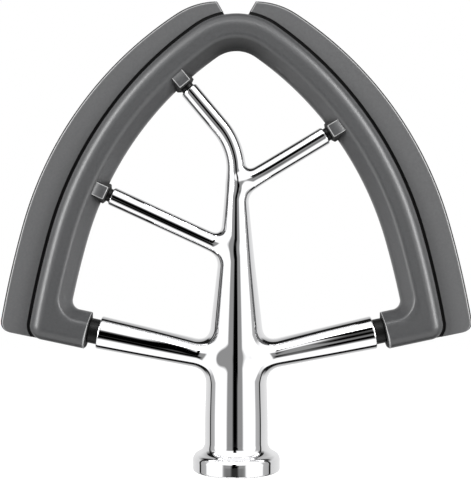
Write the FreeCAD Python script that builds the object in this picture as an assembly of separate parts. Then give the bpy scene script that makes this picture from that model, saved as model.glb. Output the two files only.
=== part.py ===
import FreeCAD, Part
import math
import os

# Flat beater for a stand mixer, in millimetres. Z runs from the mouth of the hub up to the blade tips,
# X across the arch and Y through its thickness. The origin is the centre of the hub's mouth.
# A polished branching casting carries a moulded arch on five spigots, each sealed by a black sleeve,
# and the tongue of a soft scraper blade sits in a slot along each outer edge of the arch.

Vec = FreeCAD.Vector

# Hub, flange and drive socket
hub_radius = 9.55
flange_radius = 13.2
flange_rim_height = 3.2
flare_radius = 11.3
flare_height = 4.9
hub_foot_height = 8.6
flange_edge_chamfer = 0.5
socket_radius = 6.45
socket_depth = 34.0
socket_mouth_chamfer = 0.6
pin_slot_width = 5.2
pin_slot_reach = 10.9
pin_slot_height = 15.5
pin_lock_angle = 50.0

# Trunk and the three upper arms
trunk_start_height = 25.0
upper_arm_radius = 2.85
bend_start_height = 93.2
bend_radius = 14.0
bend_angle = 40.0
mid_arm_root_height = 65.7
mid_arm_slope = 24.7
right_arm_root_height = 85.3
right_arm_slope = 31.0

# Two lower arms and their blend into the trunk
lower_arm_radius = 5.0
lower_arm_draft = 1.4
lower_arm_blend = 3.5

# Spigots, and the sleeves on them
upper_spigot_radius = 1.3
upper_spigot_depth = 6.5
upper_sleeve_wall = 0.7
upper_sleeve_gap = 1.3
lower_spigot_radius = 2.4
lower_spigot_depth = 11.0
lower_sleeve_wall = 1.35
lower_sleeve_gap = 3.2
fit_gap = 0.05

# Arch frame: outer edge of three tangent arcs a side, section, and the elbows at its feet
frame_top = 138.15
frame_apex_radius = 21.05
frame_shoulder_radius = 113.7
frame_flank_radius = 284.0
frame_apex_angle = 54.7
frame_shoulder_angle = 15.8
frame_width = 10.9
frame_thickness = 12.5
frame_edge_round = 4.0
frame_edge_flats = 2
frame_corner_radius = 4.3
frame_bevel = 3.6
frame_nose_land = 2.6
window_corner_radius = 2.7
elbow_floor_height = 27.2
elbow_slope = 12.0
elbow_height = 11.1
elbow_end_x = 44.9

# Drafted bosses round the upper spigots
boss_width = 6.4
boss_face_width = 4.0
boss_thickness = 10.8
boss_standoff = 0.95
boss_depth = 6.5

# Scraper blades
blade_width = 9.2
blade_narrowing = 10.1
blade_thickness = 3.0
blade_tip_radius = 22.9
blade_tip_angle = 56.6
blade_tip_x = 3.6
blade_tip_slope = 60.0
blade_foot_radius = 3.0
blade_root_depth = 3.5
blade_neck_width = 1.1
tongue_thickness = 1.6

touch = 0.001
overrun = 1.0


def polar(centre, radius, degrees):
    turn = math.radians(degrees)
    return centre + Vec(radius * math.cos(turn), 0, radius * math.sin(turn))


def bearing(vector):
    return math.degrees(math.atan2(vector.z, vector.x))


def line(start, end):
    return Part.LineSegment(start, end).toShape()


def arc(centre, radius, start, end):
    middle = (start + end) / 2
    points = [polar(centre, radius, degrees) for degrees in (start, middle, end)]
    return Part.Arc(*points).toShape()


def mirrored(shape):
    return shape.mirror(Vec(), Vec(1, 0, 0))


def slab(face, half_thickness):
    front = face.copy()
    front.translate(Vec(0, -half_thickness, 0))
    return front.extrude(Vec(0, 2 * half_thickness, 0))


def edges_on(solid, guides):
    # Edges of a solid whose middle lies on every one of the guide shapes
    found = []
    for edge in solid.Edges:
        middle = Part.Vertex(edge.valueAt((edge.FirstParameter + edge.LastParameter) / 2))
        if all(guide.distToShape(middle)[0] < touch for guide in guides):
            found.append(edge)
    return found


def crossing(start, along, centre, radius):
    # Distance along a line to where it leaves a circle
    offset = start - centre
    half = offset.dot(along)
    return -half + math.sqrt(half ** 2 - offset.dot(offset) + radius ** 2)


# Centres of the arcs of the arch's outer edge, each tangent to the next
apex_centre = Vec(0, 0, frame_top - frame_apex_radius)
shoulder_centre = polar(apex_centre, frame_apex_radius - frame_shoulder_radius, frame_apex_angle)
flank_centre = polar(shoulder_centre, frame_shoulder_radius - frame_flank_radius, frame_shoulder_angle)


def floor_start(rise):
    # Where the elbows' undersides, raised by rise, would meet on the centre line
    return Vec(0, 0, elbow_floor_height + rise / math.cos(math.radians(elbow_slope)))


def corner_edges(inset, rise, corner):
    # Floor line, rounded corner, and the bearing at which the flank arc takes over
    along = polar(Vec(), 1, elbow_slope)
    start = floor_start(rise + corner)
    reach = crossing(start, along, flank_centre, frame_flank_radius - inset - corner)
    centre = start + along * reach
    flank_start = bearing(centre - flank_centre)
    floor_turn = elbow_slope - 90
    floor = line(floor_start(rise), polar(centre, corner, floor_turn))
    return [floor, arc(centre, corner, floor_turn, flank_start)], flank_start


def arch_face(inset, rise, corner):
    # Filled outline of the arch with its outer edge moved in, its floor raised and its corners rounded
    right, flank_start = corner_edges(inset, rise, corner)
    right.append(arc(flank_centre, frame_flank_radius - inset, flank_start, frame_shoulder_angle))
    shoulder_radius = frame_shoulder_radius - inset
    right.append(arc(shoulder_centre, shoulder_radius, frame_shoulder_angle, frame_apex_angle))
    right.append(arc(apex_centre, frame_apex_radius - inset, frame_apex_angle, 90))
    left = [mirrored(edge) for edge in reversed(right)]
    return Part.Face(Part.Wire(right + left))


def nose_reach(root, angle):
    # Distance along an arm's line from its root to the inner edge of the arch
    start = Vec(abs(root.x), 0, root.z)
    along = polar(Vec(), 1, min(angle, 180 - angle))
    spans = [
        (flank_centre, frame_flank_radius, -90, frame_shoulder_angle),
        (shoulder_centre, frame_shoulder_radius, frame_shoulder_angle, frame_apex_angle),
        (apex_centre, frame_apex_radius, frame_apex_angle, 180),
    ]
    for centre, radius, low, high in spans:
        distance = crossing(start, along, centre, radius - frame_width)
        if low <= bearing(start + along * distance - centre) <= high:
            return distance


# Root and bearing of each arm, and the distance from the root to the seat in the arch
bend_centre = Vec(-bend_radius, 0, bend_start_height)
bend_end = polar(bend_centre, bend_radius, bend_angle)
elbow_root = floor_start(elbow_height / 2)
elbow_reach = elbow_end_x / math.cos(math.radians(elbow_slope))
mid_root = Vec(0, 0, mid_arm_root_height)
right_root = Vec(0, 0, right_arm_root_height)
upper_arms = {
    "mid_left": (mid_root, 180 - mid_arm_slope),
    "upper_left": (bend_end, 90 + bend_angle),
    "upper_right": (right_root, right_arm_slope),
}
lower_arms = {
    "lower_left": (elbow_root, 180 - elbow_slope),
    "lower_right": (elbow_root, elbow_slope),
}


def boss_reach(root, angle):
    return nose_reach(root, angle) - boss_standoff


def turned(corners, root, angle):
    # Closed profile in radius and height, turned about Z from the back and laid along an arm
    face = Part.Face(Part.makePolygon(corners + corners[:1]))
    face.rotate(Vec(), Vec(0, 0, 1), 90)
    solid = face.revolve(Vec(), Vec(0, 0, 1), 360)
    solid.rotate(Vec(), Vec(0, 1, 0), 90 - angle)
    solid.translate(root)
    return solid


def rod(radius, start, end, root, angle):
    # Plain round bar or hole between two distances along an arm
    along = polar(Vec(), 1, angle)
    return Part.makeCylinder(radius, end - start, root + along * start, along)


def arm(root, angle, radius, draft, length, spigot_radius, spigot_end):
    # Arm that slims towards the trunk, with a square shoulder and its spigot
    corners = [
        Vec(0, 0, 0),
        Vec(radius - length * math.tan(math.radians(draft)), 0, 0),
        Vec(radius, 0, length),
        Vec(spigot_radius, 0, length),
        Vec(spigot_radius, 0, spigot_end),
        Vec(0, 0, spigot_end),
    ]
    return turned(corners, root, angle)


def upper_arm(name):
    root, angle = upper_arms[name]
    seat = boss_reach(root, angle)
    spigot_end = seat + upper_spigot_depth
    length = seat - upper_sleeve_gap
    return arm(root, angle, upper_arm_radius, 0, length, upper_spigot_radius, spigot_end)


def lower_arm(name):
    root, angle = lower_arms[name]
    spigot_end = elbow_reach + lower_spigot_depth
    length = elbow_reach - lower_sleeve_gap
    return arm(root, angle, lower_arm_radius, lower_arm_draft, length, lower_spigot_radius, spigot_end)


def stem():
    # Flange, hub and trunk turned in one, then the bend that carries the trunk on into the upper left arm
    top = Vec(0, 0, bend_start_height)
    corners = [
        Vec(0, 0, 0),
        Vec(flange_radius - flange_edge_chamfer, 0, 0),
        Vec(flange_radius, 0, flange_edge_chamfer),
        Vec(flange_radius, 0, flange_rim_height),
        Vec(flare_radius, 0, flare_height),
        Vec(hub_radius, 0, hub_foot_height),
        Vec(hub_radius, 0, trunk_start_height),
        Vec(upper_arm_radius, 0, bend_start_height),
        top,
    ]
    trunk = turned(corners, Vec(), 90)
    disc = Part.Face(Part.Wire(Part.makeCircle(upper_arm_radius, top, Vec(0, 0, 1))))
    disc.rotate(top, Vec(0, 0, 1), 90)
    bend = disc.revolve(bend_centre, Vec(0, -1, 0), bend_angle)
    return trunk.fuse([bend, upper_arm("upper_left")]).removeSplitter()


def drive_socket():
    # Blind round socket with a bayonet slot for the shaft's cross pin, open through the back of the hub
    hole = Part.makeCylinder(socket_radius, socket_depth)
    mouth_radius = socket_radius + socket_mouth_chamfer
    mouth = Part.makeCone(mouth_radius, socket_radius, socket_mouth_chamfer)
    half = pin_slot_width / 2
    seat_height = pin_slot_height - half
    entry = Part.makeBox(pin_slot_width, pin_slot_reach, seat_height, Vec(-half, 0, 0))
    entry_top = Part.makeCylinder(half, pin_slot_reach, Vec(0, 0, seat_height), Vec(0, 1, 0))
    leg_corner = Vec(0, 0, seat_height - half)
    leg_section = Part.makePlane(pin_slot_reach, pin_slot_width, leg_corner, Vec(1, 0, 0), Vec(0, 1, 0))
    leg = leg_section.revolve(Vec(), Vec(0, 0, 1), pin_lock_angle)
    leg_end = entry_top.copy()
    leg_end.rotate(Vec(), Vec(0, 0, 1), pin_lock_angle)
    return hole.fuse([mouth, entry, entry_top, leg, leg_end])


def spider():
    # The whole casting: arms on the trunk, the thick ones blended in, then the drive socket
    core = stem()
    thick = [lower_arm("lower_left"), lower_arm("lower_right")]
    casting = core.fuse(thick + [upper_arm("mid_left"), upper_arm("upper_right")])
    for branch in thick:
        casting = casting.makeFillet(lower_arm_blend, edges_on(casting, [core, branch]))
    return casting.cut(drive_socket())


def sleeve(radius, wall, start, end, root, angle):
    # Black sealing sleeve round a spigot, from the arm's shoulder to the face of the arch
    bore = radius + fit_gap
    return rod(bore + wall, start, end, root, angle).cut(rod(bore, start, end, root, angle))


def sleeves():
    made = {}
    for name, (root, angle) in upper_arms.items():
        end = boss_reach(root, angle)
        start = end - upper_sleeve_gap
        made[name] = sleeve(upper_spigot_radius, upper_sleeve_wall, start, end, root, angle)
    for name, (root, angle) in lower_arms.items():
        start = elbow_reach - lower_sleeve_gap
        made[name] = sleeve(lower_spigot_radius, lower_sleeve_wall, start, elbow_reach, root, angle)
    return made


def boss(root, angle):
    # Boss with faces drafted both ways from the mid-plane, square to its arm
    along = polar(Vec(), 1, angle)
    across = polar(Vec(), 1, angle + 90)
    centre = root + along * boss_reach(root, angle)
    half_depth = boss_thickness / 2
    corners = [
        (boss_width / 2, 0),
        (boss_face_width / 2, half_depth),
        (-boss_face_width / 2, half_depth),
        (-boss_width / 2, 0),
        (-boss_face_width / 2, -half_depth),
        (boss_face_width / 2, -half_depth),
    ]
    points = [centre + across * side + Vec(0, depth, 0) for side, depth in corners]
    return Part.Face(Part.makePolygon(points + points[:1])).extrude(along * boss_depth)


def spigot_holes():
    holes = []
    for root, angle in upper_arms.values():
        start = boss_reach(root, angle)
        end = start + upper_spigot_depth + fit_gap
        holes.append(rod(upper_spigot_radius + fit_gap, start - overrun, end, root, angle))
    for root, angle in lower_arms.values():
        end = elbow_reach + lower_spigot_depth + fit_gap
        holes.append(rod(lower_spigot_radius + fit_gap, elbow_reach - overrun, end, root, angle))
    return holes


def elbow_opening():
    # Space between the two elbow ends, each end square to its arm
    along = polar(Vec(), 1, elbow_slope)
    across = polar(Vec(), 1, elbow_slope + 90)
    end = elbow_root + along * elbow_reach
    upper = end + across * elbow_height
    lower = end - across * (end.z / across.z)
    corners = [upper, lower, mirrored(Part.Vertex(lower)).Point, mirrored(Part.Vertex(upper)).Point]
    return slab(Part.Face(Part.makePolygon(corners + corners[:1])), frame_thickness)


def window_bevel():
    # Drafted side of the window, from the nose at the mid-plane out past the front face
    half_land = frame_nose_land / 2
    depth = frame_thickness / 2 - half_land
    widening = frame_bevel * (depth + overrun) / depth
    nose = arch_face(frame_width, elbow_height, window_corner_radius).OuterWire
    nose.translate(Vec(0, -half_land, 0))
    front_corner = window_corner_radius + widening
    front = arch_face(frame_width - widening, elbow_height - widening, front_corner).OuterWire
    front.translate(Vec(0, -half_land - depth - overrun, 0))
    return Part.makeLoft([nose, front], True, True)


def blade_edge():
    # Outer edge of the right blade from its rounded foot: flank, narrowing shoulder and flatter tip
    (floor, foot), flank_start = corner_edges(-blade_width, 0, blade_foot_radius)
    flank_radius = frame_flank_radius + blade_width
    shoulder_radius = frame_shoulder_radius + blade_width - blade_narrowing
    centre = polar(flank_centre, flank_radius - shoulder_radius, frame_shoulder_angle)
    tip_centre = polar(centre, shoulder_radius - blade_tip_radius, blade_tip_angle)
    return [
        foot,
        arc(flank_centre, flank_radius, flank_start, frame_shoulder_angle),
        arc(centre, shoulder_radius, frame_shoulder_angle, blade_tip_angle),
        arc(tip_centre, blade_tip_radius, blade_tip_angle, 180 - blade_tip_angle),
    ]


def blade_face():
    # Everything inside the right blade's outer edge, down to the floor line
    edges = blade_edge()
    middle = floor_start(0)
    floor = line(middle, edges[0].valueAt(edges[0].FirstParameter))
    closing = line(edges[-1].valueAt(edges[-1].LastParameter), middle)
    return Part.Face(Part.Wire([floor] + edges + [closing]))


def tip_side(setback):
    # Everything on the blade's side of its slanting tip cut, moved towards the tip by setback
    foot = Vec(blade_tip_x, 0, frame_top)
    along = polar(Vec(), 1, blade_tip_slope)
    outward = polar(Vec(), 1, blade_tip_slope - 90)
    start = foot - outward * setback
    corners = [start + along * frame_top, start - along * frame_top]
    corners += [corner + outward * frame_top for corner in reversed(corners)]
    return slab(Part.Face(Part.makePolygon(corners + corners[:1])), frame_thickness)


def inside_root(depth, half_thickness):
    # Everything inside the root of the blades, with square corners that lie below the floor line
    drop = frame_corner_radius + overrun
    return slab(arch_face(depth, -drop, frame_corner_radius), half_thickness)


def blade():
    # Right blade: plate that stands off the arch by the neck, on a thinner tongue that sits in the slot
    outside = blade_face()
    neck_corner = frame_corner_radius + blade_neck_width
    inside = arch_face(-blade_neck_width, -blade_neck_width, neck_corner)
    plate = slab(outside, blade_thickness / 2).cut(slab(inside, blade_thickness / 2))
    half = tongue_thickness / 2
    tongue = slab(outside, half).common(slab(inside, half)).cut(inside_root(blade_root_depth, half))
    return plate.fuse(tongue).common(tip_side(0)).removeSplitter()


def blade_slot():
    # Slot in the arch for the right blade's tongue
    half = tongue_thickness / 2 + fit_gap
    depth = blade_root_depth + fit_gap
    band = slab(arch_face(-overrun, -overrun, frame_corner_radius), half)
    return band.cut(inside_root(depth, half)).common(tip_side(fit_gap))


def rounded_block():
    # Solid block in the arch's outline, its outer edges rounded in flats by stepping the outline in
    half = frame_thickness / 2
    wires = []
    for step in range(frame_edge_flats + 1):
        turn = math.pi / 2 * (1 - step / frame_edge_flats)
        inset = frame_edge_round * (1 - math.cos(turn))
        depth = half - frame_edge_round * (1 - math.sin(turn))
        wires.append(arch_face(inset, inset, frame_corner_radius - inset).OuterWire)
        wires[-1].translate(Vec(0, -depth, 0))
    wires += [wire.mirror(Vec(), Vec(0, 1, 0)) for wire in reversed(wires)]
    return Part.makeLoft(wires, True, True)


def frame():
    # Arch with rounded outer edges, bevelled window, bosses, spigot holes and blade slots
    half = frame_thickness / 2
    body = rounded_block().cut(elbow_opening())
    bevel = window_bevel()
    nose = arch_face(frame_width, elbow_height, window_corner_radius)
    body = body.cut([slab(nose, half), bevel, bevel.mirror(Vec(), Vec(0, 1, 0))])
    body = body.fuse([boss(root, angle) for root, angle in upper_arms.values()])
    slot = blade_slot()
    return body.cut(spigot_holes() + [slot, mirrored(slot)])


def write(name, shape):
    shape.exportStep(f"parts/{name}.step")
    print(name, "valid", shape.isValid(), "solids", len(shape.Solids), "volume", round(shape.Volume, 1))


os.makedirs("parts", exist_ok=True)
write("spider", spider())
write("frame", frame())
right_blade = blade()
write("scraper_right", right_blade)
write("scraper_left", mirrored(right_blade))
for place, ring in sleeves().items():
    write("sleeve_" + place, ring)
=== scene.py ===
import math
import bpy
import bmesh
import numpy as np
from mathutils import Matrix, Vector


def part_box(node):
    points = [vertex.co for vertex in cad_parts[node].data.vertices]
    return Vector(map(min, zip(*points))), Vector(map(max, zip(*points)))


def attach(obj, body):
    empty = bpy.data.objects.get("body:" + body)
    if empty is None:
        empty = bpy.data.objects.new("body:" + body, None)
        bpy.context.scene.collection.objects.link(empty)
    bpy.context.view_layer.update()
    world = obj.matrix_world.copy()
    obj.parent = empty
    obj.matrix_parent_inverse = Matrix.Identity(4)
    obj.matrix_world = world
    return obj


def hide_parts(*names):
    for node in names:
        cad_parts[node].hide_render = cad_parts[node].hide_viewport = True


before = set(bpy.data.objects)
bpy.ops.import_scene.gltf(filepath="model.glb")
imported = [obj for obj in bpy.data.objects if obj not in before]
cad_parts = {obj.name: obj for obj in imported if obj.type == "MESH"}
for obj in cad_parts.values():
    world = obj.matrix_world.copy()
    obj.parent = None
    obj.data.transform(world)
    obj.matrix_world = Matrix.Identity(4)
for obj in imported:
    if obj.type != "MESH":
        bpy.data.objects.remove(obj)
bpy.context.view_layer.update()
print("frame loaded:", len(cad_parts), "nodes")

scene = bpy.context.scene
scene.view_settings.view_transform = "Standard"
mm = 0.001  # the beater's sizes are in millimetres, X across, Y away from the camera, Z up


# small tools: the flat of the beater is the complex plane, x + z*i

def turn(degrees):
    # unit step at that bearing
    return np.exp(1j * np.radians(degrees))


def crossing(start, along, centre, radius):
    # how far along a line it leaves a circle
    offset = start - centre
    half = (offset * np.conj(along)).real
    return -half + np.sqrt(half ** 2 - abs(offset) ** 2 + radius ** 2)


def gridFaces(rows, cols, wrapRows=False, wrapCols=False):
    # quads between neighbouring rows and columns of a grid of points
    row = np.arange(rows if wrapRows else rows - 1)
    col = np.arange(cols if wrapCols else cols - 1)
    row, col = np.meshgrid(row, col, indexing="ij")
    nextRow, nextCol = (row + 1) % rows, (col + 1) % cols
    quads = [row * cols + col, nextRow * cols + col, nextRow * cols + nextCol, row * cols + nextCol]
    return np.stack(quads, -1).reshape(-1, 4)


def roundedProfile(corners, radii, steps):
    # closed outline whose corners are arcs: each arc starts and ends radius * tan(half the turn) from its
    # corner, and each straight run gets a support point close to both of its ends
    corners, radii = np.array(corners), np.array(radii)
    before, after = np.roll(corners, 1) - corners, np.roll(corners, -1) - corners
    before, after = before / abs(before), after / abs(after)
    bend = np.pi - np.arccos(np.clip((before * np.conj(after)).real, -1, 1))
    reach = radii * np.tan(bend / 2)
    inward = before + after
    inward = inward / abs(inward)
    centre = corners + inward * (radii / np.cos(bend / 2))
    side = np.sign((after * np.conj(before)).imag)
    sweep = np.linspace(-0.5, 0.5, steps)[None, :]
    arcs = centre[:, None] - inward[:, None] * radii[:, None] * np.exp(-1j * sweep * (side * bend)[:, None])
    support = 0.12  # from an arc's end to its support point
    lead = corners + before * (reach + support)
    trail = corners + after * (reach + support)
    return np.concatenate([lead[:, None], arcs, trail[:, None]], 1).ravel()


def addPiece(name, points, faces, finish, node, normals=None, paintedLight=None):
    # mesh in place at the origin, standing for its node of the frame
    # the per-point value paints light and shade on the surface: 0 is painted shade, 0.5 as moulded, 1 a
    # painted highlight
    mesh = bpy.data.meshes.new(name)
    mesh.from_pydata((points * mm).tolist(), [], faces)
    if paintedLight is not None:
        mesh.attributes.new("paintedLight", "FLOAT", "POINT").data.foreach_set("value", paintedLight.ravel())
    if normals is None:
        work = bmesh.new()
        work.from_mesh(mesh)
        bmesh.ops.remove_doubles(work, verts=work.verts, dist=1e-7)
        bmesh.ops.recalc_face_normals(work, faces=work.faces)
        work.to_mesh(mesh)
        work.free()
    mesh.polygons.foreach_set("use_smooth", np.ones(len(mesh.polygons), dtype=bool))
    if normals is not None:
        mesh.normals_split_custom_set_from_vertices(normals.tolist())
    mesh.materials.append(finish)
    piece = bpy.data.objects.new(name, mesh)
    scene.collection.objects.link(piece)
    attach(piece, "root")
    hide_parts(node)
    print(name, len(mesh.vertices), "points")
    return piece


# finishes

# moulding and silicone each carry a pale grey for the painted highlights along their edges
finishes = dict(
    greyMoulding=dict(
        colour=(0.067, 0.068, 0.070), roughness=0.34, shine=0.7, grain=0.1, grainSize=0.5, paintedHighlight=0.5,
    ),
    greySilicone=dict(
        colour=(0.11, 0.111, 0.113), roughness=0.32, shine=0.6, grain=0.15, grainSize=0.6, paintedHighlight=0.4,
    ),
    blackRubber=dict(colour=(0.004, 0.004, 0.004), roughness=0.4, shine=0.3, grain=0.1, grainSize=0.4),
    polishedMetal=dict(colour=(0.92, 0.92, 0.93), roughness=0.03, metallic=1.0),
)
grainDepth = 0.02  # millimetres, as grainSize is
paintedShadeGrey = 0.003  # grey of the painted shade in grooves, undercuts and beside bosses
mottle = dict(size=0.7, colour=0.06, roughness=0.12)  # patches in millimetres, and how much they change


def fineNoise(nodes, links, size):
    # soft noise fixed to the piece, in patches of about that size
    place = nodes.new("ShaderNodeTexCoord")
    noise = nodes.new("ShaderNodeTexNoise")
    noise.inputs["Scale"].default_value = 1 / (size * mm)
    noise.inputs["Detail"].default_value = 2
    links.new(place.outputs["Object"], noise.inputs["Vector"])
    return noise.outputs["Fac"]


def varied(nodes, links, source, middle, share):
    # a value that wanders by that share either side of its middle
    spread = nodes.new("ShaderNodeMapRange")
    spread.inputs["From Min"].default_value = 0.3  # noise seldom leaves 0.3 to 0.7
    spread.inputs["From Max"].default_value = 0.7
    spread.inputs["To Min"].default_value = middle * (1 - share)
    spread.inputs["To Max"].default_value = middle * (1 + share)
    links.new(source, spread.inputs["Value"])
    return spread.outputs[0]


def makeFinish(name):
    # mottled roughness, a fine grain, and a colour with painted shade and painted highlights from the
    # per-point value
    look = finishes[name]
    finish = bpy.data.materials.new(name)
    finish.use_nodes = True
    nodes, links = finish.node_tree.nodes, finish.node_tree.links
    shader = nodes["Principled BSDF"]
    shader.inputs["Base Color"].default_value = (*look["colour"], 1)
    shader.inputs["Metallic"].default_value = look.get("metallic", 0.0)
    shader.inputs["Specular IOR Level"].default_value = look.get("shine", 0.5)
    patches = fineNoise(nodes, links, mottle["size"])
    rough = varied(nodes, links, patches, look["roughness"], mottle["roughness"])
    if "grain" in look:
        bump = nodes.new("ShaderNodeBump")
        bump.inputs["Strength"].default_value = look["grain"]
        bump.inputs["Distance"].default_value = grainDepth * mm
        links.new(fineNoise(nodes, links, look["grainSize"]), bump.inputs["Height"])
        links.new(bump.outputs["Normal"], shader.inputs["Normal"])
    if "paintedHighlight" in look:
        # painted shade (near black) at low values, its own grey on the open faces and a painted highlight at
        # high values
        mark = nodes.new("ShaderNodeAttribute")
        mark.attribute_name = "paintedLight"
        ramp = nodes.new("ShaderNodeValToRGB")
        stops = ramp.color_ramp.elements
        stops.new(0.5)
        colours = ([paintedShadeGrey] * 3, look["colour"], [look["paintedHighlight"]] * 3)
        for stop, place, colour in zip(stops, (0, 0.5, 1), colours):
            stop.position = place
            stop.color = (*colour, 1)
        shade = nodes.new("ShaderNodeVectorMath")
        shade.operation = "SCALE"
        links.new(mark.outputs["Fac"], ramp.inputs[0])
        links.new(ramp.outputs[0], shade.inputs[0])
        links.new(varied(nodes, links, patches, 1.0, mottle["colour"]), shade.inputs["Scale"])
        links.new(shade.outputs[0], shader.inputs["Base Color"])
        # and no gloss where shade is painted
        matt = nodes.new("ShaderNodeMapRange")
        matt.inputs["From Max"].default_value = 0.5
        matt.inputs["To Min"].default_value = 1.0
        matt.inputs["To Max"].default_value = 0.0
        either = nodes.new("ShaderNodeMath")
        either.operation = "MAXIMUM"
        links.new(mark.outputs["Fac"], matt.inputs["Value"])
        links.new(matt.outputs[0], either.inputs[0])
        links.new(rough, either.inputs[1])
        rough = either.outputs[0]
    links.new(rough, shader.inputs["Roughness"])
    return finish


greyMoulding = makeFinish("greyMoulding")
greySilicone = makeFinish("greySilicone")
blackRubber = makeFinish("blackRubber")
polishedMetal = makeFinish("polishedMetal")
print("finishes ready")


# arch: a rounded, bevelled section carried round three tangent arcs a side, with an elbow at each foot

arch = dict(
    top=138.15, apexRadius=21.05, shoulderRadius=113.7, flankRadius=284.0,  # outer edge
    apexAngle=54.7, shoulderAngle=15.8,  # bearings where one arc hands over to the next
    width=10.9, thickness=12.5, edgeRound=4.0, cornerRadius=4.3,
    bevel=3.6, noseLand=2.6, creaseRound=2.2, noseRound=3.4, windowCorner=2.7, roundSteps=9,
    floorHeight=27.2, slope=12.0, elbowHeight=11.1, elbowBevel=3.1, elbowEnd=44.9,
    endRound=0.3, stations=(14, 16, 40, 150, 24),  # floor, corner, flank, shoulder, apex
    underFrom=117.0, underShade=0.9,  # painted shade on the bevel under the apex
)
apexCentre = 1j * (arch["top"] - arch["apexRadius"])
shoulderCentre = apexCentre + (arch["apexRadius"] - arch["shoulderRadius"]) * turn(arch["apexAngle"])
flankCentre = shoulderCentre + (arch["shoulderRadius"] - arch["flankRadius"]) * turn(arch["shoulderAngle"])
floorAlong = turn(arch["slope"])
floorAcross = 1j * floorAlong
floorRise = 1 / math.cos(math.radians(arch["slope"]))
elbowRoot = 1j * (arch["floorHeight"] + arch["elbowHeight"] / 2 * floorRise)
elbowReach = arch["elbowEnd"] * floorRise


def footCorner(inset, rise, corner):
    # centre of the rounded corner between raised floor line and inset flank, and the bearing it ends at
    start = 1j * (arch["floorHeight"] + (rise + corner) * floorRise)
    reach = crossing(start, floorAlong, flankCentre, arch["flankRadius"] - inset - corner)
    centre = start + floorAlong * reach
    return centre, np.degrees(np.angle(centre - flankCentre))


def archLoops(inset, rise, corner):
    # one row for each inset: floor line, corner arc, flank, shoulder and apex arcs, then the same mirrored
    inset, rise, corner = inset[:, None], rise[:, None], corner[:, None]
    steps = [np.linspace(0, 1, count, endpoint=False)[None, :] for count in arch["stations"]]
    centre, flankStart = footCorner(inset, rise, corner)
    elbowEnd = elbowRoot + floorAlong * elbowReach + floorAcross * (rise - arch["elbowHeight"] / 2)
    floorEnd = centre - floorAcross * corner
    floorTurn = arch["slope"] - 90
    rows = [elbowEnd + (floorEnd - elbowEnd) * steps[0] ** 2]  # closest together at the elbow's end
    rows.append(centre + corner * turn(floorTurn + (flankStart - floorTurn) * steps[1]))
    flank = flankStart + (arch["shoulderAngle"] - flankStart) * steps[2]
    rows.append(flankCentre + (arch["flankRadius"] - inset) * turn(flank))
    shoulder = arch["shoulderAngle"] + (arch["apexAngle"] - arch["shoulderAngle"]) * steps[3]
    rows.append(shoulderCentre + (arch["shoulderRadius"] - inset) * turn(shoulder))
    apex = arch["apexAngle"] + (90 - arch["apexAngle"]) * np.append(steps[4], [[1.0]], 1)
    rows.append(apexCentre + (arch["apexRadius"] - inset) * turn(apex))
    right = np.concatenate(rows, 1)
    return np.concatenate([right, -np.conj(right[:, -2::-1])], 1)


def archSection():
    # real part is the inset from the outer edge, imaginary part is the depth
    half, crease = arch["thickness"] / 2, arch["width"] - arch["bevel"]
    land = arch["noseLand"] / 2
    corners = [-half * 1j, crease - half * 1j, arch["width"] - land * 1j]
    corners += [np.conj(corner) for corner in reversed(corners)]
    radii = [arch["edgeRound"], arch["creaseRound"], arch["noseRound"]]
    return roundedProfile(corners, radii + radii[::-1], arch["roundSteps"])


bosses = dict(
    width=6.4, faceWidth=4.0, thickness=10.8, standoff=0.95, depth=6.5, edgeRound=0.3, roundSteps=6,
    shadeReach=1.3, shade=0.97,  # painted shade in the corner beside a boss
    highlightBelow=((0, 0.01, 0.04, 0.1, 0.2), (0, 0.6, 1, 1, 0)),  # painted highlight line along the edges, by depth under the face
    highlightAlong=((0.2, 0.3), (1, 0)),  # and by distance from the front end
    sideShadeBelow=((0.1, 0.2), (0, 1)), sideShadeAlong=((0, 0.05), (1, 0)),  # painted shade on the sides and front end, the same way
)


def bossShell(root, angle):
    # six-sided section, drafted both ways from the mid-plane, carried along its arm: first a quarter-round
    # front edge, r - r * sin along and r - r * cos in, then straight on into the arch
    along, across = turn(angle), turn(angle + 90)
    side = np.array([1, 0, 0, -1, 0, 0]) * bosses["width"] / 2
    side = side + np.array([0, 1, -1, 0, -1, 1]) * bosses["faceWidth"] / 2
    deep = np.array([0, 1, 1, 0, -1, -1]) * bosses["thickness"] / 2
    section = roundedProfile(side + 1j * deep, [bosses["edgeRound"]] * 6, bosses["roundSteps"])
    reach = noseReach(root, angle) - bosses["standoff"]
    bend = np.linspace(0, np.pi / 2, bosses["roundSteps"])[::-1]
    start = bosses["edgeRound"] - bosses["edgeRound"] * np.sin(bend)
    shrink = bosses["edgeRound"] * (1 - np.cos(bend))
    travel = np.append(start, bosses["depth"])[:, None]
    scale = np.append(1 - 2 * shrink / bosses["width"], 1.0)[:, None]
    flat = root + along * (reach + travel) + across * (section.real[None, :] * scale)
    depth = section.imag[None, :] * scale
    below = bosses["thickness"] / 2 - abs(section.imag)[None, :]  # under the front or back face
    # painted highlight along the face's edges, painted shade on the sides and front end
    highlight = np.maximum(np.interp(below, *bosses["highlightBelow"]), np.interp(travel, *bosses["highlightAlong"]))
    sideShade = np.maximum(np.interp(below, *bosses["sideShadeBelow"]), np.interp(travel, *bosses["sideShadeAlong"]))
    return np.stack([flat.real, depth, flat.imag], -1), (0.5 + 0.5 * highlight) * (1 - sideShade)


def noseReach(root, angle):
    # how far along an arm's line the inner edge of the arch is, on the arc whose span it meets
    start = abs(root.real) + 1j * root.imag
    along = turn(min(angle, 180 - angle))
    spans = [
        (flankCentre, arch["flankRadius"], -90, arch["shoulderAngle"]),
        (shoulderCentre, arch["shoulderRadius"], arch["shoulderAngle"], arch["apexAngle"]),
        (apexCentre, arch["apexRadius"], arch["apexAngle"], 180),
    ]
    for centre, radius, low, high in spans:
        reach = crossing(start, along, centre, radius - arch["width"])
        if low <= math.degrees(np.angle(start + along * reach - centre)) <= high:
            return reach


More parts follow.
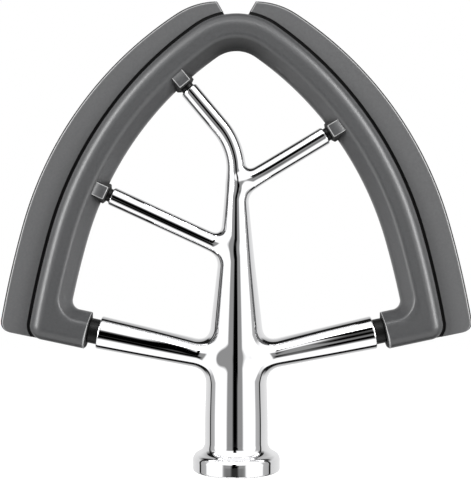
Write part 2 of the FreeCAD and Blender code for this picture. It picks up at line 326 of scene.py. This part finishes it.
arms = dict(
    bendStart=90.6, bendRadius=21.0, bendAngle=40.0,
    midRoot=65.7, midSlope=24.7, rightRoot=85.3, rightSlope=31.0,
    upperRadius=2.85, upperGap=1.3, lowerRadius=5.0, lowerDraft=1.4, lowerGap=3.2,
)
bendCentre = -arms["bendRadius"] + 1j * arms["bendStart"]
bendEnd = bendCentre + arms["bendRadius"] * turn(arms["bendAngle"])
upperArms = {
    "mid_left": (1j * arms["midRoot"], 180 - arms["midSlope"]),
    "upper_left": (bendEnd, 90 + arms["bendAngle"]),
    "upper_right": (1j * arms["rightRoot"], arms["rightSlope"]),
}
lowerArms = {
    "lower_left": (elbowRoot, 180 - arch["slope"]),
    "lower_right": (elbowRoot, arch["slope"]),
}


def makeArch():
    # the section's points carried round the arch as loops, capped at the elbows, and a shell for each boss
    section = archSection()
    crease = arch["width"] - arch["bevel"]
    marks = [0, arch["edgeRound"], crease, arch["width"]]
    rises = [0, arch["edgeRound"], arch["elbowHeight"] - arch["elbowBevel"], arch["elbowHeight"]]
    corners = [
        arch["cornerRadius"], arch["cornerRadius"] - arch["edgeRound"],
        arch["windowCorner"] + arch["bevel"], arch["windowCorner"],
    ]
    inset = section.real
    loops = archLoops(inset, np.interp(inset, marks, rises), np.interp(inset, marks, corners))
    points = np.stack([loops.real, np.broadcast_to(section.imag[:, None], loops.shape), loops.imag], -1)
    count, stations = loops.shape
    ends = points[:, [0, -1]]
    middle = ends.mean(0, keepdims=True)
    points[:, [0, -1]] = middle + (ends - middle) * (1 - 2 * arch["endRound"] / arch["thickness"])
    faces = gridFaces(count, stations, wrapRows=True).tolist()
    ring = np.arange(count) * stations
    faces += [ring.tolist(), (ring + stations - 1).tolist()]  # flat ends of the elbows
    paintedLight = np.full(loops.shape, 0.5)
    paintedLight[:, [1, 2, -3, -2]] = 1.0  # painted highlight round each elbow's end
    # painted shade on the elbows' flat end faces
    paintedLight[:, [0, -1]] = 0.0
    onBevel = np.clip((inset - crease) / arch["bevel"], 0, 1)[:, None]
    # painted shade on the bevel, deepening towards the top under the apex
    under = (loops.imag - arch["underFrom"]) / (arch["top"] - arch["width"] - arch["underFrom"])
    underBevel = np.clip(3 * onBevel, 0, 1)  # in full from a third of the way across
    paintedLight *= 1 - arch["underShade"] * underBevel * np.clip(under, 0, 1)
    widening = (bosses["width"] - bosses["faceWidth"]) / 2
    half = bosses["width"] / 2 - widening * abs(section.imag[:, None]) / (bosses["thickness"] / 2)
    shells, shellPaintedLights = [points.reshape(-1, 3)], []
    total = count * stations
    for root, angle in upperArms.values():
        # painted shade on the bevel beside each boss
        side = abs(((loops - root) * np.conj(turn(angle))).imag)
        near = abs(loops - root - noseReach(root, angle) * turn(angle)) < bosses["width"]
        beside = np.exp(-(np.maximum(side - half, 0) / bosses["shadeReach"]) ** 2)
        paintedLight *= 1 - bosses["shade"] * near * onBevel * beside
        shell, shellPaintedLight = bossShell(root, angle)
        rings, around = shell.shape[:2]
        faces += (gridFaces(rings, around, wrapCols=True) + total).tolist()
        cap = np.arange(around) + total
        faces += [cap.tolist(), (cap + (rings - 1) * around).tolist()]
        shells.append(shell.reshape(-1, 3))
        shellPaintedLights.append(shellPaintedLight.ravel())
        total += rings * around
    points, paintedLight = np.concatenate(shells), np.concatenate([paintedLight.ravel()] + shellPaintedLights)
    return addPiece("archFrame", points, faces, greyMoulding, "frame", paintedLight=paintedLight)


makeArch()


# scraper blades: a flat section stretched between a neck line off the arch and the blade's own outer edge

blade = dict(
    width=9.2, narrowing=10.1, thickness=3.0, edgeRound=1.0, neckWidth=1.1, innerRound=0.15, roundSteps=9,
    tongueThickness=1.6, tongueDepth=4.4,
    tipRadius=22.9, tipAngle=56.6, tipX=3.6, tipSlope=60.0, footRadius=3.0,
    stations=260, crowding=1.35, tipStations=(0.9965, 0.9985),  # closer together at the foot and the cut tip
    rimPaintedLight=((0.019, 0.076, 0.168, 0.3), (0.5, 1.0, 0.15, 0.0)),  # painted highlight line and painted shade at the outer edge, by depth under the face
    # painted shade on the end faces, how thin the ends get, and how far out the groove's painted shade
    # reaches
    endShade=0.15, endThin=0.8, neckShade=0.05,
)


def tipBearing(centre, radius):
    # bearing at which a circle meets the slanting cut of the tip
    start = blade["tipX"] + 1j * arch["top"]
    along = turn(blade["tipSlope"])
    return np.degrees(np.angle(start + along * crossing(start, along, centre, radius) - centre))


def alongArcs(arcs, share):
    # points at shares of the whole length of a chain of arcs (centre, radius, first and last bearing)
    centre, radius, first, last = [np.array(column) for column in zip(*arcs)]
    length = abs(radius * np.radians(last - first))
    ends = np.concatenate([[0], np.cumsum(length)])
    distance = share * ends[-1]
    which = np.clip(np.searchsorted(ends, distance, side="right") - 1, 0, len(length) - 1)
    within = (distance - ends[which]) / length[which]
    return centre[which] + radius[which] * turn(first[which] + (last[which] - first[which]) * within)


def bladeEdges():
    # points at the same shares of the length of the neck line and of the outer edge, from foot to tip
    neck = blade["neckWidth"]
    corner, flankStart = footCorner(0, 0, arch["cornerRadius"])
    neckCorner = arch["cornerRadius"] + neck
    neckStart = arch["slope"] - 90 + math.degrees(math.acos(arch["cornerRadius"] / neckCorner))
    apexRadius = arch["apexRadius"] + neck
    inner = [
        (corner, neckCorner, neckStart, flankStart),
        (flankCentre, arch["flankRadius"] + neck, flankStart, arch["shoulderAngle"]),
        (shoulderCentre, arch["shoulderRadius"] + neck, arch["shoulderAngle"], arch["apexAngle"]),
        (apexCentre, apexRadius, arch["apexAngle"], tipBearing(apexCentre, apexRadius)),
    ]
    foot, footEnd = footCorner(-blade["width"], 0, blade["footRadius"])
    flankRadius = arch["flankRadius"] + blade["width"]
    shoulderRadius = arch["shoulderRadius"] + blade["width"] - blade["narrowing"]
    shoulder = flankCentre + (flankRadius - shoulderRadius) * turn(arch["shoulderAngle"])
    tip = shoulder + (shoulderRadius - blade["tipRadius"]) * turn(blade["tipAngle"])
    outer = [
        (foot, blade["footRadius"], arch["slope"] - 90, footEnd),
        (flankCentre, flankRadius, footEnd, arch["shoulderAngle"]),
        (shoulder, shoulderRadius, arch["shoulderAngle"], blade["tipAngle"]),
        (tip, blade["tipRadius"], blade["tipAngle"], tipBearing(tip, blade["tipRadius"])),
    ]
    share = np.linspace(0, 1, blade["stations"]) ** blade["crowding"]
    share = np.sort(np.append(share, blade["tipStations"]))
    return alongArcs(inner, share), alongArcs(outer, share)


def makeBlade(name, side, node):
    # each point of the section lies so far across from the neck line, or so far short of the outer edge
    inner, outer = bladeEdges()
    span = outer - inner
    across, width = span / abs(span), abs(span)
    half, tongue = blade["thickness"] / 2, blade["tongueThickness"] / 2
    tall = 100.0  # stands for the outer edge while the outline is rounded
    corners = [
        -blade["tongueDepth"] - tongue * 1j, -tongue * 1j, -half * 1j, tall - half * 1j,
        tall + half * 1j, half * 1j, tongue * 1j, -blade["tongueDepth"] + tongue * 1j,
    ]
    small = [blade["innerRound"]] * 3
    section = roundedProfile(corners, small + [blade["edgeRound"]] * 2 + small, blade["roundSteps"])
    onOuter = section.real > tall / 2
    place = np.where(onOuter, section.real - tall, section.real)[:, None]
    place = place + onOuter[:, None] * width[None, :]
    flat = inner[None, :] + across[None, :] * place
    points = np.stack([side * flat.real, np.broadcast_to(section.imag[:, None], flat.shape), flat.imag], -1)
    count, stations = flat.shape
    faces = gridFaces(count, stations, wrapRows=True).tolist()
    ring = np.arange(count) * stations
    faces += [ring.tolist(), (ring + stations - 1).tolist()]
    below = (half - abs(section.imag))[:, None]
    paintedLight = np.where(onOuter[:, None], np.interp(below, *blade["rimPaintedLight"]), 0.5)  # painted highlight line and painted shade along the outer edge
    paintedLight = np.broadcast_to(paintedLight, flat.shape).copy()
    paintedLight[:, -3] = 1.0  # painted highlight along the cut tip
    # painted shade on the end faces
    paintedLight[:, [0, -2, -1]] = blade["endShade"]
    paintedLight[section.real < blade["neckShade"]] = 0.0  # painted shade on the tongue and the step beside it, in the groove
    points[:, [0, -1], 1] *= blade["endThin"]  # rounded ends
    return addPiece(name, points.reshape(-1, 3), faces, greySilicone, node, paintedLight=paintedLight)


makeBlade("scraperRight", 1, "scraper_right")
makeBlade("scraperLeft", -1, "scraper_left")


# sleeves: a rounded ring section turned about its arm

sleeves = dict(
    upper=dict(spigot=1.3, wall=0.7, edge=0.25, length=arms["upperGap"]),
    lower=dict(spigot=2.4, wall=1.35, edge=0.4, length=arms["lowerGap"]),
    fit=0.05, boreEdge=0.1, roundSteps=6, around=64,
)


def makeSleeve(name, root, angle, end, size, node):
    # real part of the section is the distance from the arm's line, imaginary part is along it
    bore, length = size["spigot"] + sleeves["fit"], size["length"]
    outside = bore + size["wall"]
    corners = [bore + 0j, outside + 0j, outside + 1j * length, bore + 1j * length]
    radii = [sleeves["boreEdge"], size["edge"], size["edge"], sleeves["boreEdge"]]
    section = roundedProfile(corners, radii, sleeves["roundSteps"])
    spin = np.linspace(0, 2 * np.pi, sleeves["around"], endpoint=False)[None, :]
    away = section.real[:, None] * np.cos(spin)
    depth = section.real[:, None] * np.sin(spin)
    flat = root + turn(angle) * (end - length + section.imag[:, None]) + turn(angle + 90) * away
    points = np.stack([flat.real, depth, flat.imag], -1)
    faces = gridFaces(*flat.shape, wrapRows=True, wrapCols=True).tolist()
    return addPiece(name, points.reshape(-1, 3), faces, blackRubber, node)


for place, (root, angle) in upperArms.items():
    end = noseReach(root, angle) - bosses["standoff"]
    makeSleeve("sleeve." + place, root, angle, end, sleeves["upper"], "sleeve_" + place)
for place, (root, angle) in lowerArms.items():
    makeSleeve("sleeve." + place, root, angle, elbowReach, sleeves["lower"], "sleeve_" + place)


# casting: one smooth skin where a distance field is zero. The field is the distance to each limb, and limbs
# run together over a blend width k as min(a, b) - max(k - |a - b|, 0)^2 / 4k

casting = dict(
    heights=(16, 30, 45, 63.5, 81.8, 93), radii=(9.55, 9.1, 7.65, 5.5, 3.65, 2.85), taperReach=6.0,  # trunk
    flangeRadius=13.2, rimHeight=3.2, shoulderRadius=2.2, flareRadius=3.6,
    lowerBlend=4.6, midBlend=3.0, rightBlend=2.6, edgeBlend=0.5, socketBlend=0.3,
    armStart=1.8, rootSwell=0.35, swellReach=5.0,
    lowerDeepen=0.4, midDeepen=0.1, rightDeepen=0.0,  # share by which an arm is deeper than wide
    deepFrom=1.4, deepReach=2.9, deepFade=0.7,  # in radii of the arm
    socketRadius=6.45, socketDepth=34.0, mouthChamfer=0.6,
    slotWidth=5.2, slotReach=10.9, slotHeight=15.5, lockAngle=50.0,
    pitch=0.40, rounds=12, evenRounds=8, evenShare=0.5, leastSlope=0.2,
)


def trunkTable():
    # radius against height: rim, rounded shoulder, flare, hub, then a smoothed taper
    size = casting
    hub = size["radii"][0]
    blend = size["shoulderRadius"] + size["flareRadius"]
    bend = math.acos(1 - (size["flangeRadius"] - hub) / blend)
    switch = size["rimHeight"] + size["shoulderRadius"] * math.sin(bend)
    flareTop = size["rimHeight"] + blend * math.sin(bend)
    height = np.linspace(-5, 110, 2301)  # a row every 0.05 mm, past both ends
    taper = np.interp(height, size["heights"], size["radii"])
    rows = round(size["taperReach"] / (height[1] - height[0]))
    window = np.hanning(2 * rows + 1)
    padded = np.pad(taper, rows, mode="edge")
    taper = np.convolve(padded, window / window.sum(), mode="valid")
    up = np.clip(height - size["rimHeight"], 0, size["shoulderRadius"])
    inner = size["flangeRadius"] - size["shoulderRadius"]
    shoulder = inner + np.sqrt(size["shoulderRadius"] ** 2 - up ** 2)
    down = np.clip(flareTop - height, 0, size["flareRadius"])
    flare = hub + size["flareRadius"] - np.sqrt(size["flareRadius"] ** 2 - down ** 2)
    radius = np.where(height < switch, shoulder, np.where(height < flareTop, flare, taper))
    return height, radius


trunkHeight, trunkRadius = trunkTable()
trunkSlope = np.gradient(trunkRadius, trunkHeight)


def smoothMin(a, b, k):
    return np.minimum(a, b) - np.maximum(k - np.abs(a - b), 0) ** 2 / (4 * k)


def smoothMax(a, b, k):
    return -smoothMin(-a, -b, k)


def limbDistance(p, root, angle, radius, draft, length, swell=0.0, deepen=0.0):
    # distance to a round bar that widens away from its root and ends in a flat shoulder; near the root it
    # may swell, or be deeper than wide, by a bell-shaped share
    along = turn(angle)
    offset = (p[0] - root.real) + 1j * (p[2] - root.imag)
    travel = (offset * np.conj(along)).real
    side = (offset * np.conj(along)).imag
    share = travel / radius - casting["deepFrom"]
    reach = np.where(share > 0, casting["deepReach"], casting["deepFade"])
    deep = 1 + deepen * np.exp(-(share / reach) ** 2)
    out = np.hypot(side, p[1] / deep)
    slope = math.tan(math.radians(draft))
    thick = radius - slope * (length - np.maximum(travel, 0))
    thick = thick + swell * np.exp(-(travel / casting["swellReach"]) ** 2)
    out = np.hypot(out, np.minimum(travel, 0))
    return smoothMax((out - thick) * math.cos(math.radians(draft)), travel - length, casting["edgeBlend"])


def trunkDistance(p):
    # distance to the trunk: straight up, round the bend and on along the upper left arm to its flat end,
    # with the radius read from the table by the distance travelled
    root, angle = upperArms["upper_left"]
    radius, start = arms["bendRadius"], arms["bendStart"]
    length = noseReach(root, angle) - bosses["standoff"] - arms["upperGap"]
    offset = (p[0] - bendCentre.real) + 1j * (p[2] - bendCentre.imag)
    step = ((p[0] - root.real) + 1j * (p[2] - root.imag)) * np.conj(turn(angle))
    onBend = offset.imag > 0
    onArm = onBend & (step.real > 0)
    side = np.where(onArm, step.imag, np.where(onBend, abs(offset) - radius, p[0]))
    armStart = start + radius * math.radians(arms["bendAngle"])
    turned = start + radius * np.angle(offset)
    travel = np.where(onArm, armStart + step.real, np.where(onBend, turned, p[2]))
    steep = np.interp(travel, trunkHeight, trunkSlope)
    skin = (np.hypot(side, p[1]) - np.interp(travel, trunkHeight, trunkRadius)) / np.sqrt(1 + steep ** 2)
    return smoothMax(skin, step.real - length, casting["edgeBlend"])


def socketDistance(p):
    # blind bore with a chamfered mouth, and the two legs of the bayonet slot at the back
    size = casting
    out = np.hypot(p[0], p[1])
    bore = np.maximum(out - size["socketRadius"], p[2] - size["socketDepth"])
    mouth = (out - size["socketRadius"] - size["mouthChamfer"] + p[2]) * math.sqrt(0.5)
    mouth = np.maximum(mouth, p[2] - size["mouthChamfer"])
    half = size["slotWidth"] / 2
    seat = size["slotHeight"] - half
    entry = np.hypot(p[0], np.maximum(p[2] - seat, 0)) - half
    entry = np.maximum(np.maximum(entry, p[1] - size["slotReach"]), -p[1])
    lock = math.radians(size["lockAngle"])
    swing = np.clip(np.arctan2(-p[0], p[1]), 0, lock)
    sideways = -p[0] * np.cos(swing) - p[1] * np.sin(swing)
    leg = np.hypot(sideways, p[2] - seat) - half
    behind = p[1] * np.cos(swing) - p[0] * np.sin(swing)
    leg = np.maximum(np.maximum(leg, out - size["slotReach"]), -behind)
    return np.minimum(np.minimum(bore, mouth), np.minimum(entry, leg))


def castingDistance(p):
    # trunk, arms blended in one by one, cut off at the floor, less the socket
    size = casting
    field = trunkDistance(p)
    for root, angle in lowerArms.values():
        length = elbowReach - arms["lowerGap"]
        bar = limbDistance(
            p, root, angle, arms["lowerRadius"], arms["lowerDraft"], length, deepen=size["lowerDeepen"],
        )
        field = smoothMin(field, bar, size["lowerBlend"])
    for place, name in (("mid_left", "mid"), ("upper_right", "right")):
        root, angle = upperArms[place]
        length = noseReach(root, angle) - bosses["standoff"] - arms["upperGap"]
        inside = size["armStart"]
        start = root + inside * turn(angle)
        bar = limbDistance(
            p, start, angle, arms["upperRadius"], 0.0, length - inside,
            swell=size["rootSwell"], deepen=size[name + "Deepen"],
        )
        field = smoothMin(field, bar, size[name + "Blend"])
    field = smoothMax(field, -p[2], size["edgeBlend"])
    return smoothMax(field, -socketDistance(p), size["socketBlend"])


def surfaceNet(field, low, pitch):
    # one point in each cell that the zero level passes through, at the mean of its edge crossings,
    # and one quad round each grid edge that changes sign
    inside = field < 0
    shape = np.array(field.shape) - 1
    total = np.zeros((*shape, 3))
    count = np.zeros(shape)
    for axis in range(3):
        others = [other for other in range(3) if other != axis]
        for step in range(4):
            shift = np.zeros(3, dtype=int)
            shift[others[0]], shift[others[1]] = step & 1, step >> 1
            ahead = shift + np.eye(3, dtype=int)[axis]
            a = field[tuple(slice(s, s + n) for s, n in zip(shift, shape))]
            b = field[tuple(slice(s, s + n) for s, n in zip(ahead, shape))]
            cut = (a < 0) != (b < 0)
            share = np.where(cut, a / np.where(cut, a - b, 1), 0)
            for other in range(3):
                total[..., other] += cut * (shift[other] + (share if other == axis else 0))
            count += cut
    active = count > 0
    number = np.full(shape, -1)
    number[active] = np.arange(active.sum())
    cell = np.argwhere(active)
    points = low + pitch * (cell + total[active] / count[active][:, None])
    quads = []
    for axis in range(3):
        first, second = [(axis + 1) % 3, (axis + 2) % 3]
        near = inside.take(np.arange(shape[axis]), axis=axis)
        far = inside.take(np.arange(1, shape[axis] + 1), axis=axis)
        edge = np.argwhere(near != far)
        edge = edge[(edge[:, first] > 0) & (edge[:, second] > 0)]
        edge = edge[(edge[:, first] < shape[first]) & (edge[:, second] < shape[second])]
        u, v = np.eye(3, dtype=int)[first], np.eye(3, dtype=int)[second]
        loop = [number[tuple((edge - back).T)] for back in (0 * u, u, u + v, v)]
        loop = np.stack(loop, -1)
        outward = near[tuple(edge.T)]
        quads.append(np.where(outward[:, None], loop, loop[:, ::-1]))
    return points, np.concatenate(quads)


def fieldSlope(points):
    # outward direction of the field by central differences
    step = 0.02
    sides = []
    for axis in range(3):
        shift = np.eye(3)[axis] * step
        sides.append(castingDistance((points + shift).T) - castingDistance((points - shift).T))
    slope = np.stack(sides, -1)
    return slope / (2 * step)


def makeCasting():
    # a net over the field, its points evened out on the skin, with normals from the field's slope
    low, high = [np.array(corner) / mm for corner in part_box("spider")]
    pitch = casting["pitch"]
    margin = 2 * pitch
    axes = [np.arange(a - margin, b + margin, pitch) for a, b in zip(low, high)]
    grid = np.meshgrid(*axes, indexing="ij")
    points, quads = surfaceNet(castingDistance(grid), low - margin, pitch)
    ends = np.concatenate([quads[:, [side, (side + 1) % 4]] for side in range(4)])
    for step in range(casting["rounds"]):
        # slide each point back onto the zero level, and at first draw it along the skin to its neighbours
        slope = fieldSlope(points)
        steep = np.maximum((slope ** 2).sum(1), casting["leastSlope"])[:, None]
        points = points - slope * castingDistance(points.T)[:, None] / steep
        if step < casting["evenRounds"]:
            near = [np.bincount(ends[:, 0], points[ends[:, 1], axis]) for axis in range(3)]
            pull = np.stack(near, -1) / np.bincount(ends[:, 0])[:, None] - points
            points = points + casting["evenShare"] * (pull - slope * (pull * slope).sum(1)[:, None] / steep)
    slope = fieldSlope(points)
    normals = slope / np.linalg.norm(slope, axis=1)[:, None]
    return addPiece("casting", points, quads.tolist(), polishedMetal, "spider", normals)


makeCasting()


# room, in metres: white floor and background, a white studio with dark panels where the camera stands

room = dict(
    floorSize=1.0, floorColour=0.4, floorRoughness=0.9, floorGlow=0.86, floorFade=(0.15, 0.4),
    swing=6.0,  # the studio's middle stands a little to the left of the camera
    rings=[  # grey by how far a direction turns away to the side, 0 at the front and 1 at the back
        (0.0, 1.0), (0.40, 1.0), (0.425, 0.42), (0.585, 0.36),
        (0.595, 0.01), (0.640, 0.01), (0.66, 0.60), (1.0, 0.75),
    ],
    hoops=[  # the same up and down
        (0.0, 1.0), (0.54, 1.0), (0.55, 0.01), (0.755, 0.01), (0.77, 0.40), (1.0, 0.60),
    ],
    patches=[  # dark panels in front: middle, half width, bottom, top, grey, softness
        (0.0, 0.49, -0.62, 0.40, 0.26, 0.08), (0.02, 0.15, -0.27, 0.31, 0.0, 0.30),
        (0.0, 0.36, -0.52, -0.22, 0.0, 0.25), (0.0, 0.09, 0.05, 0.75, 0.0, 0.35),
        (0.14, 0.06, -0.02, 0.22, 0.0, 0.40),
    ],
    patchCorner=0.3, uprightSpan=(0.35, 0.6),  # sides hand over to above and below between these heights
    shine=1.12, softLevel=0.35,
    softSides=[  # soft light by the same measure, at the sides and then above and below
        (0.0, 1.0), (0.08, 0.9), (0.25, 0.0), (0.35, 1.2), (0.6, 1.2), (0.7, 0.0), (0.8, 3.5), (1.0, 3.5),
    ],
    softAbove=[(0.0, 1.0), (0.08, 0.9), (0.25, 0.0), (0.7, 0.0), (0.8, 3.5), (1.0, 3.5)],
    lampTurn=55.0, lampAway=1.2, lampHeight=0.4, lampSize=(0.42, 1.4), lampPower=16.0,
    stripTurn=50.0, stripSize=(0.9, 0.15), stripPower=2.0,
)


def makeFloor():
    # white to the camera, pale to other light, fading out far off and left out of reflections
    half = room["floorSize"] / 2
    mesh = bpy.data.meshes.new("floor")
    corners = [(-half, -half, 0), (half, -half, 0), (half, half, 0), (-half, half, 0)]
    mesh.from_pydata(corners, [], [(0, 1, 2, 3)])
    finish = bpy.data.materials.new("paleFloor")
    finish.use_nodes = True
    nodes, links = finish.node_tree.nodes, finish.node_tree.links
    shader = nodes["Principled BSDF"]
    shader.inputs["Base Color"].default_value = (room["floorColour"],) * 3 + (1,)
    shader.inputs["Roughness"].default_value = room["floorRoughness"]
    shader.inputs["Specular IOR Level"].default_value = 0.0
    shader.inputs["Emission Color"].default_value = (1, 1, 1, 1)
    path = nodes.new("ShaderNodeLightPath")
    glow = nodes.new("ShaderNodeMath")
    glow.operation = "MULTIPLY"
    glow.inputs[1].default_value = room["floorGlow"]
    place = nodes.new("ShaderNodeTexCoord")
    away = nodes.new("ShaderNodeVectorMath")
    away.operation = "LENGTH"
    fade = nodes.new("ShaderNodeMapRange")
    fade.inputs["From Min"].default_value, fade.inputs["From Max"].default_value = room["floorFade"]
    hide = nodes.new("ShaderNodeMath")
    hide.operation = "MAXIMUM"
    clear = nodes.new("ShaderNodeBsdfTransparent")
    mix = nodes.new("ShaderNodeMixShader")
    links.new(place.outputs["Object"], away.inputs[0])
    links.new(away.outputs["Value"], fade.inputs["Value"])
    links.new(path.outputs["Is Glossy Ray"], hide.inputs[0])
    links.new(fade.outputs[0], hide.inputs[1])
    links.new(path.outputs["Is Camera Ray"], glow.inputs[0])
    links.new(glow.outputs[0], shader.inputs["Emission Strength"])
    links.new(hide.outputs[0], mix.inputs[0])
    links.new(shader.outputs[0], mix.inputs[1])
    links.new(clear.outputs[0], mix.inputs[2])
    links.new(mix.outputs[0], nodes["Material Output"].inputs["Surface"])
    mesh.materials.append(finish)
    floor = bpy.data.objects.new("floor", mesh)
    scene.collection.objects.link(floor)


def rampStops(ramp, stops):
    # stops as (place, grey), in order
    points = ramp.color_ramp.elements
    while len(points) < len(stops):
        points.new(1.0)
    for point, (place, grey) in zip(points, stops):
        point.position = place
        point.color = (grey, grey, grey, 1)


def makeWorld():
    # what a direction shows depends on how far it turns from the front, and on how far up or down it points
    world = bpy.data.worlds.new("studio")
    world.use_nodes = True
    scene.world = world
    nodes, links = world.node_tree.nodes, world.node_tree.links
    place = nodes.new("ShaderNodeTexCoord")
    swing = nodes.new("ShaderNodeMapping")
    swing.inputs["Rotation"].default_value = (0, 0, math.radians(room["swing"]))
    split = nodes.new("ShaderNodeSeparateXYZ")
    links.new(place.outputs["Generated"], swing.inputs["Vector"])
    links.new(swing.outputs[0], split.inputs[0])
    # rings about the viewing axis, by how far a direction points away from the front
    facing = nodes.new("ShaderNodeMapRange")
    facing.inputs["From Min"].default_value = -1
    facing.inputs["From Max"].default_value = 1
    links.new(split.outputs["Y"], facing.inputs["Value"])
    ramps = {}
    for name in ("rings", "hoops", "softSides", "softAbove"):
        ramps[name] = nodes.new("ShaderNodeValToRGB")
        rampStops(ramps[name], room[name])
        links.new(facing.outputs[0], ramps[name].inputs[0])
    lean = nodes.new("ShaderNodeMath")
    lean.operation = "ABSOLUTE"
    upright = nodes.new("ShaderNodeMapRange")
    upright.inputs["From Min"].default_value, upright.inputs["From Max"].default_value = room["uprightSpan"]
    links.new(split.outputs["Z"], lean.inputs[0])
    links.new(lean.outputs[0], upright.inputs["Value"])
    mixed = []
    for level, above in (("rings", "hoops"), ("softSides", "softAbove")):
        base = nodes.new("ShaderNodeMix")
        base.data_type = "RGBA"
        links.new(upright.outputs[0], base.inputs["Factor"])
        links.new(ramps[level].outputs[0], base.inputs["A"])
        links.new(ramps[above].outputs[0], base.inputs["B"])
        mixed.append(base.outputs["Result"])
    shade, soft = mixed
    front = nodes.new("ShaderNodeMath")
    front.operation = "LESS_THAN"
    front.inputs[1].default_value = 0.0
    links.new(split.outputs["Y"], front.inputs[0])
    for middle, wide, bottom, top, grey, edge in room["patches"]:
        tall, height = (top - bottom) / 2, (top + bottom) / 2
        shift = nodes.new("ShaderNodeVectorMath")
        shift.operation = "MULTIPLY_ADD"
        shift.inputs[1].default_value = (1 / wide, 0, 1 / tall)
        shift.inputs[2].default_value = (-middle / wide, 0, -height / tall)
        fold = nodes.new("ShaderNodeVectorMath")
        fold.operation = "ABSOLUTE"
        parts = nodes.new("ShaderNodeSeparateXYZ")
        reach = nodes.new("ShaderNodeMath")
        reach.operation = "SMOOTH_MAX"
        reach.inputs[2].default_value = room["patchCorner"]
        fade = nodes.new("ShaderNodeMapRange")
        fade.inputs["From Min"].default_value = 1 + edge
        fade.inputs["From Max"].default_value = 1 - edge
        amount = nodes.new("ShaderNodeMath")
        amount.operation = "MULTIPLY"
        mix = nodes.new("ShaderNodeMix")
        mix.data_type = "RGBA"
        mix.inputs["B"].default_value = (grey, grey, grey, 1)
        links.new(swing.outputs[0], shift.inputs[0])
        links.new(shift.outputs[0], fold.inputs[0])
        links.new(fold.outputs[0], parts.inputs[0])
        links.new(parts.outputs["X"], reach.inputs[0])
        links.new(parts.outputs["Z"], reach.inputs[1])
        links.new(reach.outputs[0], fade.inputs["Value"])
        links.new(fade.outputs[0], amount.inputs[0])
        links.new(front.outputs[0], amount.inputs[1])
        links.new(amount.outputs[0], mix.inputs["Factor"])
        links.new(shade, mix.inputs["A"])
        shade = mix.outputs["Result"]
    # metal mirrors the studio, everything else gets its soft light, and the camera sees plain white
    path = nodes.new("ShaderNodeLightPath")
    mirrored = nodes["Background"]
    mirrored.inputs["Strength"].default_value = room["shine"]
    plain = nodes.new("ShaderNodeBackground")
    plain.inputs["Strength"].default_value = room["softLevel"]
    white = nodes.new("ShaderNodeBackground")
    white.inputs["Color"].default_value = (1, 1, 1, 1)
    choose = nodes.new("ShaderNodeMixShader")
    show = nodes.new("ShaderNodeMixShader")
    links.new(shade, mirrored.inputs["Color"])
    links.new(soft, plain.inputs["Color"])
    links.new(path.outputs["Is Glossy Ray"], choose.inputs[0])
    links.new(plain.outputs[0], choose.inputs[1])
    links.new(mirrored.outputs[0], choose.inputs[2])
    links.new(path.outputs["Is Camera Ray"], show.inputs[0])
    links.new(choose.outputs[0], show.inputs[1])
    links.new(white.outputs[0], show.inputs[2])
    links.new(show.outputs[0], nodes["World Output"].inputs["Surface"])


def addLamp(name, size, power, place, rise, bearing):
    # softbox that looks back along its bearing, tipped down by its rise
    light = bpy.data.lights.new(name, "AREA")
    light.shape = "RECTANGLE"
    light.size, light.size_y = size
    light.energy = power
    lamp = bpy.data.objects.new(name, light)
    lamp.location = place
    lamp.rotation_euler = (math.pi / 2 - rise, 0, bearing)
    scene.collection.objects.link(lamp)


def makeLamps():
    # a tall softbox on each side of the camera, and a weak strip high in front
    away, height = room["lampAway"], room["lampHeight"]
    for name, side in (("lampLeft", -1), ("lampRight", 1)):
        bearing = math.radians(room["lampTurn"]) * side
        place = (away * math.sin(bearing), -away * math.cos(bearing), height)
        addLamp(name, room["lampSize"], room["lampPower"], place, math.atan2(height, away), bearing)
    rise = math.radians(room["stripTurn"])
    place = (0, -away * math.cos(rise), away * math.sin(rise))
    addLamp("strip", room["stripSize"], room["stripPower"], place, rise, 0)


viewpoint = dict(lens=81.4, sensor=36, across=-0.27, away=330.0, height=69.77)


def makeCamera():
    # level with the middle of the beater, straight on
    camera = bpy.data.cameras.new("camera")
    camera.lens = viewpoint["lens"]
    camera.sensor_width = viewpoint["sensor"]
    view = bpy.data.objects.new("camera", camera)
    view.location = (viewpoint["across"] * mm, -viewpoint["away"] * mm, viewpoint["height"] * mm)
    view.rotation_euler = (math.pi / 2, 0, 0)
    scene.collection.objects.link(view)
    scene.camera = view


makeFloor()
makeWorld()
makeLamps()
makeCamera()
print("room ready")
